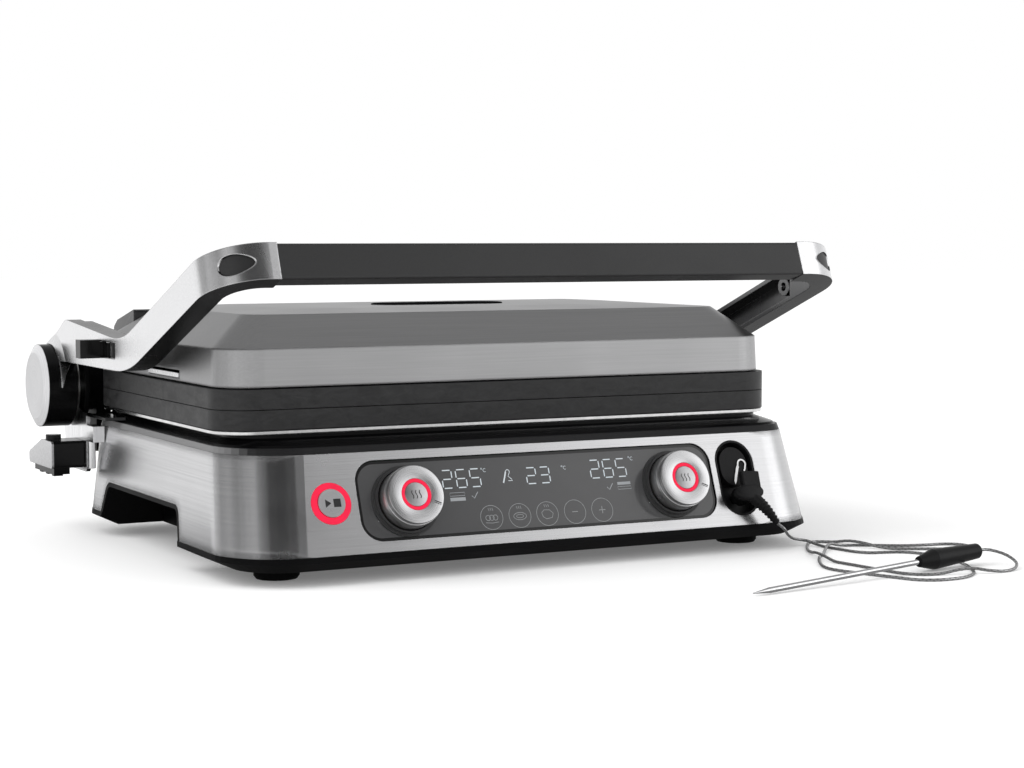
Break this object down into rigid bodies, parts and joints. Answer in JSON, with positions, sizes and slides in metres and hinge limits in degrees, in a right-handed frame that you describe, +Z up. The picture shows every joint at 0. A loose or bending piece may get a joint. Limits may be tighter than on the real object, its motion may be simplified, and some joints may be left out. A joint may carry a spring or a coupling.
{
  "type": "electric indoor grill",
  "caption": "Countertop contact grill with ribbed plates, hinged floating lid on a U-shaped handle, two control dials, drip tray and plug-in meat probe.",
  "frame": {"origin": "centre of the footprint, on the table, with the grill closed and the probe and its cable left out of the measure", "axes": "+Z up, +Y towards the hinge at the rear, +X towards the user's right"},
  "size_m": [0.5412, 0.5319, 0.2094],
  "materials": {
    "black_plastic": "fine satin grain",
    "steel": "brushed",
    "rubber": "matt",
    "screw_steel": "bright zinc",
    "pan": "polished",
    "plates": "non-stick coated die casting",
    "heater_tube": "oxidised",
    "sensor": "satin",
    "panel_glass": "grey printed glass",
    "board": "green laminate",
    "knob_barrel": "brushed grey",
    "knob_face": "spun",
    "red_light": "lit diffuser",
    "button_silver": "silver paint",
    "post_steel": "satin",
    "gloss_black": "gloss",
    "satin_metal": "satin",
    "grip_plastic": "charcoal",
    "lid_metal": "satin grey",
    "probe_black": "moulded",
    "braid": "braided",
    "needle": "polished"
  },
  "bodies": {
    "base": {"base_tub": "black_plastic", "steel_skirt": "steel", "deck": "black_plastic", "rear_cover": "black_plastic", "rubber_feet": "rubber", "base_screws": "screw_steel", "reflector_pan": "pan", "lower_plate": "plates", "lower_heater": "heater_tube", "lower_sensor": "sensor", "cord_gland": "black_plastic", "control_glass": "panel_glass", "display_board": "board", "power_board": "board", "knob_encoders": "board", "knob_seats": "black_plastic", "start_button_ring": "red_light", "probe_socket": "black_plastic", "left_hinge_post": "post_steel", "right_hinge_post": "post_steel", "hinge_shrouds": "black_plastic", "hinge_pins": "screw_steel", "friction_washers": "heater_tube", "probe_plug": "probe_black", "probe_cable": "braid", "probe_handle": "probe_black", "probe_needle": "needle"},
    "tray": {"drip_tray": "black_plastic"},
    "left_dial": {"left_knob": "knob_barrel", "left_knob_face": "knob_face", "left_knob_light": "red_light"},
    "right_dial": {"right_knob": "knob_barrel", "right_knob_face": "knob_face", "right_knob_light": "red_light"},
    "left_dial_button": {"left_knob_button": "button_silver"},
    "right_dial_button": {"right_knob_button": "button_silver"},
    "start_cap": {"start_button": "knob_face"},
    "left_lever": {"left_release_lever": "gloss_black", "left_lever_cap": "satin_metal"},
    "right_lever": {"right_release_lever": "gloss_black", "right_lever_cap": "satin_metal"},
    "handle": {"left_arm": "satin_metal", "right_arm": "satin_metal", "grip": "grip_plastic", "grip_screws": "screw_steel", "corner_plugs": "gloss_black", "hub_drums": "gloss_black", "hub_caps": "satin_metal"},
    "left_lock": {"left_slider": "gloss_black"},
    "right_lock": {"right_slider": "gloss_black"},
    "lid": {"lid_cover": "lid_metal", "lid_frame": "black_plastic", "lid_rear_hood": "black_plastic", "lid_inlay": "gloss_black", "lid_pins": "screw_steel", "lid_screws": "screw_steel", "upper_plate": "plates", "upper_heater": "heater_tube", "upper_sensor": "sensor"},
    "plate_release": {"plate_release_bar": "satin_metal"}
  },
  "joints": [
    {"name": "handle_hinge", "type": "hinge", "parent": "base", "child": "handle", "pos_m": [0, 0.15958, 0.1045], "axis": [-1, 0, 0], "range_deg": [0, 179]},
    {"name": "lid_float", "type": "hinge", "parent": "handle", "child": "lid", "pos_m": [0, 0.13958, 0.137], "axis": [-1, 0, 0], "range_deg": [0, 10]},
    {"name": "left_dial_turn", "type": "hinge", "parent": "base", "child": "left_dial", "pos_m": [-0.0986, -0.16721, 0.04765], "axis": [0, -0.9354, 0.3535], "range_deg": [-20, 250]},
    {"name": "right_dial_turn", "type": "hinge", "parent": "base", "child": "right_dial", "pos_m": [0.0986, -0.16721, 0.04765], "axis": [0, -0.9354, 0.3535], "range_deg": [-20, 250]},
    {"name": "left_dial_press", "type": "slide", "parent": "left_dial", "child": "left_dial_button", "axis": [0, 0.9354, -0.3535], "range_m": [0, 0.001], "stiffness_N_per_m": 500, "springref_m": -0.0006},
    {"name": "right_dial_press", "type": "slide", "parent": "right_dial", "child": "right_dial_button", "axis": [0, 0.9354, -0.3535], "range_m": [0, 0.001], "stiffness_N_per_m": 500, "springref_m": -0.0006},
    {"name": "start_press", "type": "slide", "parent": "base", "child": "start_cap", "axis": [0, 0.9354, -0.3535], "range_m": [0, 0.001], "stiffness_N_per_m": 500, "springref_m": -0.0006},
    {"name": "tray_slide", "type": "slide", "parent": "base", "child": "tray", "axis": [0, 1, 0], "range_m": [0, 0.08]},
    {"name": "left_lever_pull", "type": "slide", "parent": "base", "child": "left_lever", "axis": [0, -1, 0], "range_m": [0, 0.01], "stiffness_N_per_m": 300, "springref_m": -0.004},
    {"name": "right_lever_pull", "type": "slide", "parent": "base", "child": "right_lever", "axis": [0, -1, 0], "range_m": [0, 0.01], "stiffness_N_per_m": 300, "springref_m": -0.004},
    {"name": "left_lock_slide", "type": "slide", "parent": "handle", "child": "left_lock", "axis": [0, -1, 0], "range_m": [0, 0.028]},
    {"name": "right_lock_slide", "type": "slide", "parent": "handle", "child": "right_lock", "axis": [0, -1, 0], "range_m": [0, 0.028]},
    {"name": "plate_release_press", "type": "slide", "parent": "lid", "child": "plate_release", "axis": [1, 0, 0], "range_m": [0, 0.002], "stiffness_N_per_m": 400, "springref_m": -0.001}
  ]
}
